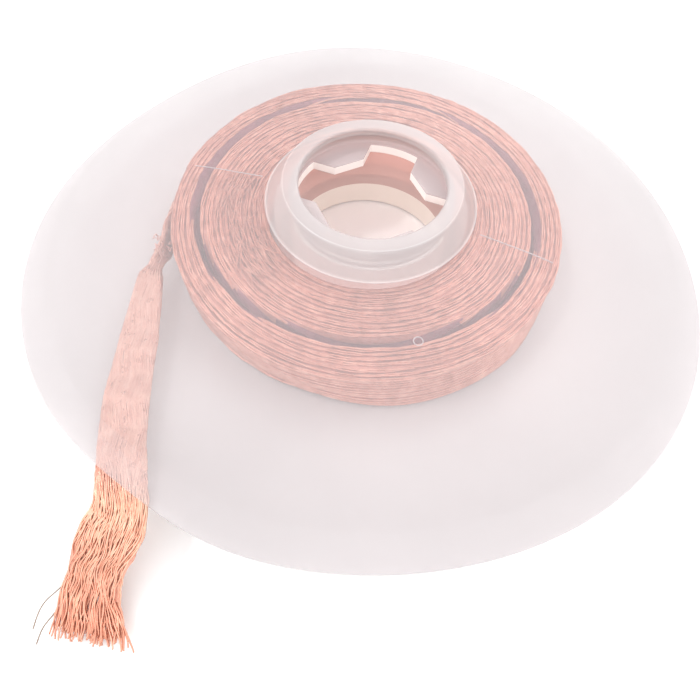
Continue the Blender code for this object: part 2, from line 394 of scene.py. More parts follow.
def grid_faces(rows, columns, close_rows=False, close_columns=False):
    """Four-sided faces of a grid whose points are numbered row by row."""
    row_count = rows if close_rows else rows - 1
    column_count = columns if close_columns else columns - 1
    row = np.arange(row_count)[:, None]
    column = np.arange(column_count)[None, :]
    next_row = (row + 1) % rows
    next_column = (column + 1) % columns
    corners = [row * columns + column, row * columns + next_column,
               next_row * columns + next_column, next_row * columns + column]
    shape = (row_count, column_count)
    return np.stack([np.broadcast_to(corner, shape) for corner in corners], axis=-1).reshape(-1, 4)


def tube(builder, path, radius, sides, zone=0, capped=True):
    """A round tube along a path. Without caps its zone may be one number for each step of the path."""
    path = np.asarray(path, dtype=float)
    along = np.gradient(path, axis=0)
    along /= np.linalg.norm(along, axis=1, keepdims=True)
    side = np.cross(along, (0.0, 0.0, 1.0))
    side /= np.linalg.norm(side, axis=1, keepdims=True)
    up = np.cross(side, along)
    turns = np.arange(sides) * math.tau / sides
    rings = path[:, None, :] + radius * (side[:, None, :] * np.cos(turns)[None, :, None]
                                         + up[:, None, :] * np.sin(turns)[None, :, None])
    zone = np.repeat(zone, sides) if np.ndim(zone) else zone
    start = builder.count
    builder.add(rings.reshape(-1, 3), grid_faces(len(path), sides, close_columns=True)[:, ::-1], zone)
    if capped:
        first = np.arange(sides)[None, :]
        last = first[:, ::-1] + (len(path) - 1) * sides
        builder.faces.append(first + start)
        builder.faces.append(last + start)
        builder.zones.append(np.full(1, zone))
        builder.zones.append(np.full(1, zone))


def waves_sum(angles, waves):
    """The sum of waves round a circle, each given by its order, size and direction."""
    return sum(size * np.cos(order * angles - direction) for order, size, direction in waves)


def angle_from(angles, middle):
    """Signed angle from a direction, between minus half a turn and half a turn."""
    return (angles - middle + math.pi) % math.tau - math.pi


def circle_path(radii, angles, heights):
    """Points at some radii, angles and heights about the axis."""
    return np.stack([radii * np.cos(angles), radii * np.sin(angles), heights], axis=-1)


def slow_noise(positions, spacing, seed):
    """A smooth random curve between about -1 and 1 along positions, with a new value every spacing."""
    source = np.random.default_rng(seed)
    positions = np.asarray(positions, dtype=float)
    low = positions.min() / spacing
    knots = positions / spacing - math.floor(low)
    values = source.uniform(-1.0, 1.0, int(knots.max()) + 4)
    index = knots.astype(int)
    share = knots - index
    share = share * share * (3 - 2 * share)
    return values[index] * (1 - share) + values[index + 1] * share


def noise_sum(positions, parts):
    """The sum of slow noises, each given by its size, spacing and seed."""
    return sum(size * slow_noise(positions, spacing, seed) for size, spacing, seed in parts)


# Bobbin

def rim_wave(angles):
    """How far the rim stands out from the frame's, which is round."""
    dip = RIM_DIP * np.exp(-(angle_from(angles, RIM_DIP_ANGLE) / RIM_DIP_SPREAD) ** 2)
    return RIM_GROWTH - dip + waves_sum(angles, RIM_WAVES)


def rim_gap(angles):
    """Gap between the rims, which open where the braid passes."""
    share = np.exp(-(angle_from(angles, RIM_TAIL_ANGLE) / RIM_TAIL_SPREAD) ** 2)
    return RIM_TOUCH_GAP + (RIM_TAIL_GAP - RIM_TOUCH_GAP) * share


def rim_middle(angles):
    """Height midway between the rims, which droop toward the far side."""
    return MIDDLE - RIM_DROOP * (1 + np.sin(angles)) / 2


def flange_thickness(radius):
    """A flange's thickness, which tapers toward its rim."""
    return FLANGE_THICKNESS + (RIM_THICKNESS - FLANGE_THICKNESS) * dish_share(radius)


def dish_share(radius):
    """How far a flange has bent toward its rim."""
    reach = max(0.0, radius - DISH_START_RADIUS) / (RIM_RADIUS - DISH_START_RADIUS)
    return reach * reach


def upper_inside(radius, angles):
    """Height of the upper flange's inner side."""
    return UPPER_INSIDE + (rim_middle(angles) + rim_gap(angles) / 2 - UPPER_INSIDE) * dish_share(radius)


def lower_inside(radius, angles):
    """Height of the lower flange's inner side."""
    return LOWER_INSIDE + (rim_middle(angles) - rim_gap(angles) / 2 - LOWER_INSIDE) * dish_share(radius)


def hole_radius(angles):
    """Distance from the axis to the drive hole's edge: a square with a slot at each corner."""
    turn = (angles - HOLE_TURN) % (math.pi / 2)
    turn = np.minimum(turn, math.pi / 2 - turn)
    slot_turn = np.maximum(math.pi / 4 - turn, 1e-6)
    slot_side = SLOT_WIDTH / 2 / np.sin(slot_turn)
    return np.maximum(HOLE_SQUARE / 2 / np.cos(turn), np.minimum(SLOT_REACH, slot_side))


def column_angles():
    """Angles of the bobbin's columns, even but for those that sit on a corner of the drive hole."""
    tooth_corner = math.atan2(HOLE_SQUARE / 2 - SLOT_WIDTH / 2 * math.sqrt(2), HOLE_SQUARE / 2)
    slot_corner = math.pi / 4 - math.asin(SLOT_WIDTH / 2 / SLOT_REACH)
    angles = np.arange(COLUMNS) * math.tau / COLUMNS
    for quarter in range(4):
        for corner in (-slot_corner, -tooth_corner, tooth_corner, slot_corner):
            wanted = (HOLE_TURN + quarter * math.pi / 2 + corner) % math.tau
            angles[int(np.argmin(np.abs(angle_from(angles, wanted))))] = wanted
    return np.sort(angles)


def rounding(centre_radius, centre_height, size, start, end):
    """Section points round a corner, its angles in degrees."""
    points = []
    for step in range(ROUND_ROWS + 1):
        angle = math.radians(start + (end - start) * step / ROUND_ROWS)
        points.append((centre_radius + size * math.cos(angle), centre_height + size * math.sin(angle)))
    return points


class Section:
    """Rows of a turned shape: a radius and a height at every column, and the material that starts there."""

    def __init__(self, angles):
        self.angles = angles
        self.rows = []

    def add(self, radius, height, zone):
        blank = np.zeros(len(self.angles))
        self.rows.append((radius + blank, height + blank, zone))

    def add_all(self, points, zone, bright=()):
        """Rows for a run of points; the places counted in bright get the painted highlight's material."""
        for place, (radius, height) in enumerate(points):
            self.add(radius, height, EDGE_LIGHT if place in bright else zone)

    def build(self, name, materials, lines=()):
        radii = np.array([row[0] for row in self.rows])
        heights = np.array([row[1] for row in self.rows])
        outward = np.clip((radii - DISH_START_RADIUS) / (RIM_RADIUS - DISH_START_RADIUS), 0, 1)
        radii = radii + rim_wave(self.angles) * outward ** 2
        still = np.clip((MIDDLE_SHIFT_END - radii) / (MIDDLE_SHIFT_END - HUB_RADIUS), 0, 1)
        points = np.stack([radii * np.cos(self.angles) + MIDDLE_SHIFT[0] * still,
                           radii * np.sin(self.angles) + MIDDLE_SHIFT[1] * still, heights], axis=-1)
        faces = grid_faces(len(self.rows), len(self.angles), close_rows=True, close_columns=True)
        zones = np.repeat([row[2] for row in self.rows], len(self.angles))
        builder = Builder()
        builder.add(points, faces, zones)
        for line in lines:
            tube(builder, line, MOULD_LINE_RADIUS, ROUND_SIDES, WEB)
        return builder.piece(name, materials)


def flange_radii():
    """Radii of the flange's rows, out to where its rounded rim starts."""
    reach = RIM_RADIUS - RIM_THICKNESS / 2 - DISH_START_RADIUS
    return [DISH_START_RADIUS + reach * step / FLANGE_ROWS for step in range(FLANGE_ROWS + 1)]


def flange_zone(radius):
    """The material of the flange at a radius."""
    return RIM_BAND if radius > RIM_BAND_RADIUS else FLANGE


def add_nose(section, inside, outside):
    """The rounded rim, from the height of one side to that of the other."""
    end = RIM_RADIUS - RIM_THICKNESS / 2
    for step in range(1, ROUND_ROWS):
        turn = math.pi * (step / ROUND_ROWS - 0.5)
        height = (inside + outside) / 2 + (outside - inside) / 2 * math.sin(turn)
        section.add(end + RIM_THICKNESS / 2 * math.cos(turn), height, RIM_BAND)


def boss_rows():
    """The boss from its foot on the flange over its outer edge, as radius and height over the flange."""
    slope = math.atan2(BOSS_BASE_RADIUS - BOSS_TOP_RADIUS, BOSS_HEIGHT)
    foot = rounding(BOSS_BASE_RADIUS + BOSS_FOOT_ROUND * 0.8, BOSS_FOOT_ROUND, BOSS_FOOT_ROUND,
                    270.0, 180.0 + math.degrees(slope))
    edge = rounding(BOSS_TOP_RADIUS - BOSS_EDGE_ROUND, BOSS_HEIGHT - BOSS_EDGE_ROUND, BOSS_EDGE_ROUND,
                    math.degrees(slope), 90.0)
    return foot + edge


def on_upper_face(x, y):
    """The point of the upper flange's outer face over a place."""
    radius = math.hypot(x, y)
    return x, y, float(upper_inside(radius, math.atan2(y, x))) + flange_thickness(radius)


def mould_lines():
    """Paths of the raised lines and of the gate's ring on the upper flange."""
    paths = []
    shares = np.linspace(0.0, 1.0, MOULD_LINE_POINTS)
    for (start_x, start_y), (end_x, end_y) in MOULD_LINES:
        paths.append([on_upper_face(start_x + (end_x - start_x) * share, start_y + (end_y - start_y) * share)
                      for share in shares])
    turns = np.linspace(0.0, math.tau, GATE_POINTS)
    paths.append([on_upper_face(GATE_PLACE[0] + GATE_RADIUS * math.cos(turn),
                                GATE_PLACE[1] + GATE_RADIUS * math.sin(turn)) for turn in turns])
    return paths


def make_upper_half(materials):
    """The upper flange with its boss, its well and the web with the drive hole."""
    angles = column_angles()
    section = Section(angles)
    hole = hole_radius(angles)
    section.add(hole, WEB_TOP - EDGE_BREAK, EDGE)
    section.add(hole, WEB_BOTTOM + EDGE_BREAK, WEB)
    section.add(hole + EDGE_BREAK, WEB_BOTTOM, WEB)
    section.add(BORE_RADIUS - CLEARANCE, WEB_BOTTOM, WEB)
    section.add(BORE_RADIUS - CLEARANCE, UPPER_INSIDE, FLANGE)
    radii = flange_radii()
    for radius in radii:
        section.add(radius, upper_inside(radius, angles), flange_zone(radius))
    rim = upper_inside(radii[-1], angles)
    add_nose(section, rim, rim + RIM_THICKNESS)
    for radius in reversed(radii):
        section.add(radius, upper_inside(radius, angles) + flange_thickness(radius), flange_zone(radius))
    section.add_all([(radius, UPPER_FACE + height) for radius, height in boss_rows()], BOSS, BOSS_BRIGHT)
    section.add_all(rounding(MOUTH_RADIUS + MOUTH_ROUND, SPOOL_HEIGHT - MOUTH_ROUND, MOUTH_ROUND,
                             90.0, 180.0), BOSS)
    lip_bottom = SPOOL_HEIGHT - MOUTH_LIP_HEIGHT
    section.add(MOUTH_RADIUS, lip_bottom, BOSS)
    section.add(WELL_RADIUS, lip_bottom - WELL_SHOULDER_HEIGHT, BOSS)
    section.add_all(rounding(WELL_RADIUS - WELL_FOOT_ROUND, WEB_TOP + WELL_FOOT_ROUND, WELL_FOOT_ROUND,
                             360.0, 270.0), WEB)
    section.add(hole + EDGE_BREAK, WEB_TOP, WEB)
    return section.build("spool_upper_half_visual", materials, mould_lines())


def make_lower_half(materials):
    """The lower flange with its foot ring and the hub tube with its bore."""
    angles = column_angles()
    section = Section(angles)
    section.add(BORE_RADIUS, BORE_CHAMFER, BOSS)
    section.add(BORE_RADIUS + BORE_CHAMFER, 0.0, BOSS)
    section.add_all([(radius, LOWER_FACE - height) for radius, height in reversed(boss_rows())], BOSS)
    section.rows[-1] = section.rows[-1][:2] + (FLANGE,)
    radii = flange_radii()
    for radius in radii:
        section.add(radius, lower_inside(radius, angles) - flange_thickness(radius), flange_zone(radius))
    rim = lower_inside(radii[-1], angles)
    add_nose(section, rim - RIM_THICKNESS, rim)
    for radius in reversed(radii):
        section.add(radius, lower_inside(radius, angles), flange_zone(radius))
    section.add(HUB_RADIUS, LOWER_INSIDE, HUB)
    section.add(HUB_RADIUS, HUB_TOP, HUB)
    section.add(BORE_RADIUS, HUB_TOP, HUB)
    section.add(BORE_RADIUS, HUB_FOOT_HEIGHT, HUB_FOOT)
    return section.build("spool_lower_half_visual", materials)


# Free end of the braid

def smooth_route(route, count):
    """Evenly many points on a Catmull-Rom curve through the route's rows."""
    rows = np.array([route[0]] + list(route) + [route[-1]])
    places = np.linspace(0, len(route) - 1, count)
    index = np.minimum(places.astype(int), len(route) - 2)
    share = (places - index)[:, None]
    before, start, end, after = (rows[index + step] for step in range(4))
    return 0.5 * (2 * start + (end - before) * share
                  + (2 * before - 5 * start + 4 * end - after) * share ** 2
                  + (3 * start - before - 3 * end + after) * share ** 3)


class Ribbon:
    """The free end's centreline with its directions across and through the flat braid."""

    def __init__(self):
        rows = smooth_route(TAIL_ROUTE, ROUTE_STEPS)
        steps = np.linalg.norm(np.diff(rows, axis=0), axis=1)
        run = np.concatenate(([0.0], np.cumsum(steps)))
        self.length = run[-1]
        coarse = np.linspace(0.0, TAIL_FINE_RUN, TAIL_STATIONS[0], endpoint=False)
        fine = np.linspace(TAIL_FINE_RUN, self.length + TAIL_OVERRUN, TAIL_STATIONS[1])
        self.run = np.concatenate((coarse, fine))
        self.centre = np.stack([np.interp(self.run, run, rows[:, column]) for column in range(3)], axis=1)
        # Past the route's end the wires go on in its last direction
        beyond = np.maximum(self.run - self.length, 0.0)[:, None]
        self.centre += beyond * (rows[-1] - rows[-END_STEPS]) / (run[-1] - run[-END_STEPS])
        shape = np.array(TAIL_SHAPE)
        self.width, self.shift, self.inward = [np.interp(self.run, shape[:, 0], shape[:, column])
                                               for column in (1, 2, 3)]
        along = np.gradient(self.centre, axis=0)
        along /= np.linalg.norm(along, axis=1, keepdims=True)
        side = np.cross(along, (0.0, 0.0, 1.0))
        side /= np.linalg.norm(side, axis=1, keepdims=True)
        up = np.cross(side, along)
        turn = np.radians(np.interp(self.run, TWIST_RUNS, TWIST_TURNS))[:, None]
        self.across = side * np.cos(turn) + up * np.sin(turn)
        self.through = np.cross(self.across, along)

    def place(self, across, through):
        """Points of one wire, from its offsets across and through the ribbon."""
        across = across + self.shift
        through = through + self.inward
        return self.centre + self.across * across[:, None] + self.through * through[:, None]


def zigzag(turns):
    """A wave from -1 to 1 and back with straight runs, one for each turn."""
    share = turns % 1.0
    return np.where(share < 0.5, 4 * share - 1, 3 - 4 * share)


def wander(run, loose, kind, seed):
    """A slow wander along the wires, which grows where the braid is loose."""
    size, spacing, woven = kind
    return size * slow_noise(run, spacing, seed) * (woven + loose)


def make_tail(materials):
    """The free end: bundles of fine wires woven into a flat tube, which come apart toward the tip."""
    ribbon = Ribbon()
    run = ribbon.run
    source = np.random.default_rng(SEED)
    builder = Builder()
    loose = np.clip((run - LOOSE_START) / LOOSE_REACH, 0, 1)
    frayed = np.clip((run - (ribbon.length - FRAY_REACH)) / FRAY_SPREAD, 0, 1) ** 1.5
    progress = np.concatenate(([0.0], np.cumsum(np.diff(run) * (1 - LAY_OPENS * loose[1:])))) / BRAID_LAY
    weave = np.cos(math.tau * BUNDLES * progress)
    for heading in (1, -1):
        for bundle in range(BUNDLES):
            bundle_wander = wander(run, loose, BUNDLE_WANDER, 100 * heading + 7 * bundle + 900)
            bundle_lift = wander(run, loose, BUNDLE_LIFT, 31 * bundle + heading + 400)
            bundle_phase = source.uniform(0, math.tau)
            for wire in range(WIRES_PER_BUNDLE):
                spot = (wire - (WIRES_PER_BUNDLE - 1) / 2) * WIRE_SPACING / (2 * BRAID_WIDTH)
                turns = bundle / BUNDLES + spot + heading * progress
                level = np.clip(LAYER_STEEPNESS * np.sin(math.tau * turns), -1, 1)
                phase = bundle_phase + source.normal(0.0, RIPPLE_SPREAD)
                across = (ribbon.width / 2 - LAYER_HEIGHT) * zigzag(turns)
                ripple = (RIPPLE[0] + RIPPLE[1] * loose) * np.sin(run * math.tau / RIPPLE[2] + phase)
                across = across + bundle_wander + ripple
                across = across + wander(run, loose, WIRE_WANDER, int(source.integers(1, 10 ** 6)))
                across = across + frayed * source.normal(0.0, FRAY_ACROSS)
                through = LAYER_HEIGHT * level + heading * WEAVE_HEIGHT * weave * (1 - loose)
                through = through + bundle_lift
                through = through + wander(run, loose, WIRE_LIFT, int(source.integers(1, 10 ** 6)))
                through = through + frayed * source.uniform(*FRAY_THROUGH)
                path = ribbon.place(across, through)
                path = path[:len(run) - int(source.integers(0, 6))]
                path[:, 2] = np.maximum(path[:, 2], WIRE_RADIUS + WIRE_FLOOR_GAP)
                tone = int(source.choice(WIRE_TONES))
                if wire % WHOLE_WIRES == 0:
                    tube(builder, path, WIRE_RADIUS, FINE_SIDES, tone)
                    continue
                # Most wires are broken or pulled aside at the neck, where the braid is thin
                start, end = THIN_RUN + source.uniform(-THIN_SPREAD, THIN_SPREAD, 2)
                tube(builder, path[run[:len(path)] < start], WIRE_RADIUS, FINE_SIDES, tone)
                tube(builder, path[run[:len(path)] > end], WIRE_RADIUS, FINE_SIDES, tone)
    add_strip(builder, ribbon)
    for start in source.uniform(KNOT_LOW, KNOT_HIGH, (KNOT_WIRES, 3)):
        steps = source.normal(0.0, KNOT_STEP, (KNOT_STEPS, 3)) * KNOT_SPREAD
        path = smooth_route(start + np.cumsum(steps, axis=0) * KNOT_TIGHTNESS, KNOT_POINTS)
        tube(builder, path, LOOSE_WIRE_RADIUS, FINE_SIDES, BETWEEN_SHADE)
    tail = builder.piece("braid_tail_wires", materials, 180.0)
    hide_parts("braid_tail")
    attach(tail, "root")
    return tail, ribbon


def add_strip(builder, ribbon):
    """The flat strip between the two layers, which closes the gaps between the wires."""
    body = ribbon.run < ribbon.length - STRIP_SHORTER
    shares = np.linspace(-1.0, 1.0, 5)
    rows = []
    for share, level in [(s, -STRIP_HALF) for s in shares] + [(s, STRIP_HALF) for s in reversed(shares)]:
        rows.append(ribbon.place(share * STRIP_SHARE * ribbon.width / 2, 0 * ribbon.run + level)[body])
    strip = np.array(rows)
    strip[:, :, 2] = np.maximum(strip[:, :, 2], STRIP_LEAST_HEIGHT)
    # Painted shade: the strip takes a darker copper
    builder.add(strip, grid_faces(strip.shape[0], strip.shape[1], close_rows=True)[:, ::-1], BETWEEN_SHADE)


def make_stray_wires(material):
    """Wires that have left the frayed tip and lie on the floor beside it."""
    builder = Builder()
    for route in STRAY_ROUTES:
        tube(builder, smooth_route(route, STRAY_POINTS), LOOSE_WIRE_RADIUS, ROUND_SIDES)
    strays = builder.piece("stray_wires", [material])
    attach(strays, "root")
    return strays


# Winding

def groove_radius(angles):
    """Radius of the groove between two turns, which isn't quite round."""
    return GROOVE_RADIUS + waves_sum(angles, GROOVE_WAVES)


def winding_top(radius, angles):
    """Height of the turns' upper edges."""
    groove = np.exp(-((radius - groove_radius(angles)) / GROOVE_HALF_WIDTH) ** 4)
    away = np.abs(angle_from(angles, LOW_OUTER_ANGLE))
    near = 1 / (1 + np.exp((away - LOW_OUTER_SPREAD) / LOW_OUTER_FADE[0]))
    low = near / (1 + np.exp(-(radius - LOW_OUTER_RADIUS) / LOW_OUTER_FADE[1]))
    return MIDDLE + BRAID_WIDTH / 2 - GROOVE_DEPTH * groove - LOW_OUTER_DEPTH * low


def outer_bulge(angles, share):
    """How far the outer side stands out, from nothing at its upper edge to the most at its lower edge."""
    return BULGE_SIZE * share ** 1.5 * np.exp(-(angle_from(angles, BULGE_ANGLE) / BULGE_SPREAD) ** 4)


def spiral():
    """Angle, radius and run of the spiral that the turns follow, from the hub outward."""
    fine = np.linspace(0.0, TURN_COUNT, TURN_COUNT * SPIRAL_STEPS + 1)
    radius = WINDING_INNER + TURN_PITCH * (fine + 0.5)
    run = np.concatenate(([0.0], np.cumsum(np.diff(fine) * math.tau * (radius[1:] + radius[:-1]) / 2)))
    wanted = np.linspace(0.0, run[-1], int(run[-1] / STRAND_STEP))
    turns = np.interp(wanted, run, fine)
    radius = WINDING_INNER + TURN_PITCH * (turns + 0.5)
    radius = np.minimum(radius, WINDING_OUTER - STRAND_RADIUS)
    return turns * math.tau + SPIRAL_END_ANGLE, radius, wanted


def make_winding(materials):
    """The roll: a body, the crossing strands of every turn's edge, and loose strands across them."""
    angles, radius, run = spiral()
    builder = Builder()
    sideways = noise_sum(run, STRANDS_WANDER)
    lift = noise_sum(run, STRANDS_LIFT)
    lay = math.tau * run / STRAND_LAY + 2.5 * slow_noise(run, 9.0, 9)
    for side, phase in ((1, 0.0), (1, math.tau / 3), (1, 2 * math.tau / 3), (-1, 0.0), (-1, math.pi)):
        seed = int(phase * 10)
        own = noise_sum(run, [(0.035, 4.3, seed + 60), (0.015, 1.9, seed + 80)])
        offset = STRAND_SWING * np.sin(lay + phase) + sideways + own
        height = STRAND_RISE * np.cos(lay + phase) + lift + 0.03 * slow_noise(run, 1.3, seed + 40)
        top = winding_top(radius, angles) if side > 0 else MIDDLE + BRAID_WIDTH / 2 + 0 * radius
        centre_height = top - STRAND_RADIUS - STRAND_SUNK + height
        if side < 0:
            centre_height = 2 * MIDDLE - centre_height
        path = circle_path(radius + offset, angles, centre_height)
        if side > 0:
            # Painted shade: strands sunk in the groove take a much darker copper
            sunk = (top[1:] + top[:-1]) / 2 < MIDDLE + BRAID_WIDTH / 2 - GROOVE_SUNK
            tube(builder, path, STRAND_RADIUS, FINE_SIDES, np.where(sunk, GROOVE_SHADE, WOUND_SHADED), capped=False)
        else:
            tube(builder, path[::3], 1.3 * STRAND_RADIUS, FINE_SIDES)
    add_winding_core(builder)
    add_outer_strands(builder)
    add_tangle(builder)
    roll = builder.piece("braid_winding_turns", materials, 180.0)
    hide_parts("braid_winding")
    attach(roll, "root")
    return roll


def add_outer_strands(builder):
    """Strands that run round the outer side of the last turn."""
    angles = np.linspace(0.0, math.tau, OUTER_STRAND_POINTS)
    lift, lift_spacing = OUTER_STRAND_LIFT
    sway, sway_spacing = OUTER_STRAND_WANDER
    top = winding_top(WINDING_OUTER, angles)
    bottom = MIDDLE - BRAID_WIDTH / 2
    for strand in range(OUTER_STRANDS):
        share = (strand + 0.5) / OUTER_STRANDS
        seed = 300 + strand
        # Both ends of each strand meet, so its noise fades out there
        fade = np.clip(np.minimum(angles, math.tau - angles) / 0.3, 0, 1)
        height = top - OUTER_STRAND_RADIUS + (bottom + OUTER_STRAND_RADIUS - top) * share
        height = height + lift * fade * slow_noise(angles, lift_spacing, seed)
        radius = WINDING_OUTER - OUTER_STRAND_RADIUS - OUTER_STRAND_INSET * (2 * share - 1) ** 4
        radius = radius + sway * fade * slow_noise(angles, sway_spacing, seed + 50)
        radius = radius + outer_bulge(angles, share)
        path = circle_path(radius, angles, height)
        tube(builder, path, OUTER_STRAND_RADIUS, FINE_SIDES, WOUND_SHADED, capped=False)


def add_tangle(builder):
    """Loose strands that lie across the turns beside the boss."""
    source = np.random.default_rng(SEED + 3)
    for _ in range(TANGLE_COUNT):
        start = source.uniform(*TANGLE_ANGLES)
        radius = source.uniform(*TANGLE_RADII)
        reach = source.uniform(*TANGLE_REACH)
        shares = np.linspace(0.0, 1.0, TANGLE_POINTS)
        angles = start + reach * shares
        drift = source.normal(0.0, TANGLE_DRIFT)
        radii = radius + drift * shares + 0.06 * np.sin(7 * shares + source.uniform(0, 6))
        radii = np.maximum(radii, TANGLE_LEAST_RADIUS)
        hump = TANGLE_RISE * np.sin(math.pi * shares) * source.uniform(0.4, 1.6)
        heights = np.minimum(winding_top(radii, angles) + hump, UPPER_INSIDE - TANGLE_CLEARANCE)
        tube(builder, circle_path(radii, angles, heights), source.uniform(*TANGLE_WIRE_RADII), FINE_SIDES)


def add_winding_core(builder):
    """The body under the strands, whose outer side shows the weave of the last turn."""
    angles = np.arange(CORE_COLUMNS) * math.tau / CORE_COLUMNS
    level = 0 * angles
    inner = np.linspace(WINDING_INNER, WINDING_OUTER - CORE_SIDE_DEPTH, CORE_ROWS)
    rows = [(radius + level, winding_top(radius, angles) - CORE_DEPTH) for radius in inner]
    top = winding_top(WINDING_OUTER, angles)
    bottom = MIDDLE - BRAID_WIDTH / 2
    along = angles * WINDING_OUTER
    for step in range(CORE_SIDE_ROWS + 1):
        share = step / CORE_SIDE_ROWS
        height = top + (bottom - top) * share
        across = height - MIDDLE
        over = np.cos(math.tau * BUNDLES * 2 * along / BRAID_LAY) * np.cos(math.tau * across * 1.1)
        slant = np.where(over > 0, SIDE_SLANT, -SIDE_SLANT)
        bundle = 0.5 * np.abs(np.sin(math.pi * (across + along * slant) * SIDE_BUNDLES))
        edge = 1 - abs(2 * share - 1) ** 6
        radius = WINDING_OUTER - CORE_SIDE_DEPTH + SIDE_RELIEF * edge * (0.5 + bundle)
        rows.append((radius + outer_bulge(angles, share), height))
    for radius in inner[::-4]:
        rows.append((radius + level, bottom + CORE_DEPTH + level))
    radii = np.array([row[0] for row in rows])
    heights = np.array([row[1] for row in rows])
    # Painted shade: the core's top takes the darker copper seen between the turns
    zones = np.full((len(rows), CORE_COLUMNS), DEEP_SHADE)
    # Painted shade: the core near the groove takes the same dark copper
    sunk = np.abs(inner[:, None] - groove_radius(angles)) < GROOVE_HALF_WIDTH + GROOVE_EDGE
    zones[:len(inner)][sunk] = GROOVE_SHADE
    zones[len(inner):len(inner) + CORE_SIDE_ROWS] = WOUND_SHADED
    # Painted glow: the core's inner side, behind the hub
    zones[-1] = BEHIND_HUB_GLOW
    faces = grid_faces(len(rows), CORE_COLUMNS, close_rows=True, close_columns=True)[:, ::-1]
    builder.add(circle_path(radii, angles, heights), faces, zones.ravel())


# Materials

def new_material(name):
    """A material with its shader and node tree."""
    material = bpy.data.materials.new(name)
    material.use_nodes = True
    tree = material.node_tree
    return material, tree, tree.nodes["Principled BSDF"]


def add_node(tree, kind, **inputs):
    """A node with some of its sockets set by name."""
    node = tree.nodes.new(kind)
    for name, value in inputs.items():
        node.inputs[name.replace("_", " ")].default_value = value
    return node


def add_ramp(tree, source, stops):
    """A colour ramp fed by a value."""
    ramp = tree.nodes.new("ShaderNodeValToRGB")
    elements = ramp.color_ramp.elements
    while len(elements) < len(stops):
        elements.new(0.5)
    for element, (position, colour) in zip(elements, stops):
        element.position = position
        element.color = tuple(colour) + (1.0,)
    tree.links.new(source, ramp.inputs["Fac"])
    return ramp


def plastic(name, colour, alpha, roughness, painted_glow=0.0, rim_painted_shade=1.0):
    """Frosted plastic: see-through, with soft cloudiness and a faint grain. Its emission is a painted glow
    that stands in for light scattered through thick parts.
    """
    material, tree, shader = new_material(name)
    # Painted glow: the plastic emits a little light of its own colour
    shader.inputs["Emission Color"].default_value = tuple(colour) + (1.0,)
    shader.inputs["Emission Strength"].default_value = painted_glow
    shader.inputs["Alpha"].default_value = alpha
    shader.inputs["IOR"].default_value = 1.49
    place = tree.nodes.new("ShaderNodeTexCoord")
    cloud = add_node(tree, "ShaderNodeTexNoise", Scale=90.0, Detail=3.0, Roughness=0.5)
    tree.links.new(place.outputs["Object"], cloud.inputs["Vector"])
    darker = [value * 0.965 for value in colour]
    lighter = [min(1.0, value * 1.03) for value in colour]
    ramp = add_ramp(tree, cloud.outputs["Fac"], [(0.3, darker), (0.7, lighter)])
    # Painted shade: toward its rim the flange's colour is darkened by a share
    flat = add_node(tree, "ShaderNodeVectorMath")
    flat.operation = 'MULTIPLY'
    flat.inputs[1].default_value = (1.0, 1.0, 0.0)
    tree.links.new(place.outputs["Object"], flat.inputs[0])
    reach = add_node(tree, "ShaderNodeVectorMath")
    reach.operation = 'LENGTH'
    tree.links.new(flat.outputs["Vector"], reach.inputs[0])
    share = add_node(tree, "ShaderNodeMapRange")
    share.inputs["From Min"].default_value = RIM_SHADE_RADII[0] * MM
    share.inputs["From Max"].default_value = RIM_SHADE_RADII[1] * MM
    share.inputs["To Min"].default_value = 1.0
    share.inputs["To Max"].default_value = rim_painted_shade
    tree.links.new(reach.outputs["Value"], share.inputs["Value"])
    shaded = add_node(tree, "ShaderNodeVectorMath")
    shaded.operation = 'SCALE'
    tree.links.new(ramp.outputs["Color"], shaded.inputs[0])
    tree.links.new(share.outputs["Result"], shaded.inputs["Scale"])
    tree.links.new(shaded.outputs["Vector"], shader.inputs["Base Color"])
    grain = add_node(tree, "ShaderNodeTexNoise", Scale=2600.0, Detail=2.0, Roughness=0.6)
    tree.links.new(place.outputs["Object"], grain.inputs["Vector"])
    spread = add_node(tree, "ShaderNodeMapRange")
    spread.inputs["To Min"].default_value = roughness - 0.05
    spread.inputs["To Max"].default_value = roughness + 0.07
    tree.links.new(grain.outputs["Fac"], spread.inputs["Value"])
    tree.links.new(spread.outputs["Result"], shader.inputs["Roughness"])
    bump = add_node(tree, "ShaderNodeBump", Strength=0.08, Distance=0.00002)
    tree.links.new(grain.outputs["Fac"], bump.inputs["Height"])
    tree.links.new(bump.outputs["Normal"], shader.inputs["Normal"])
    return material


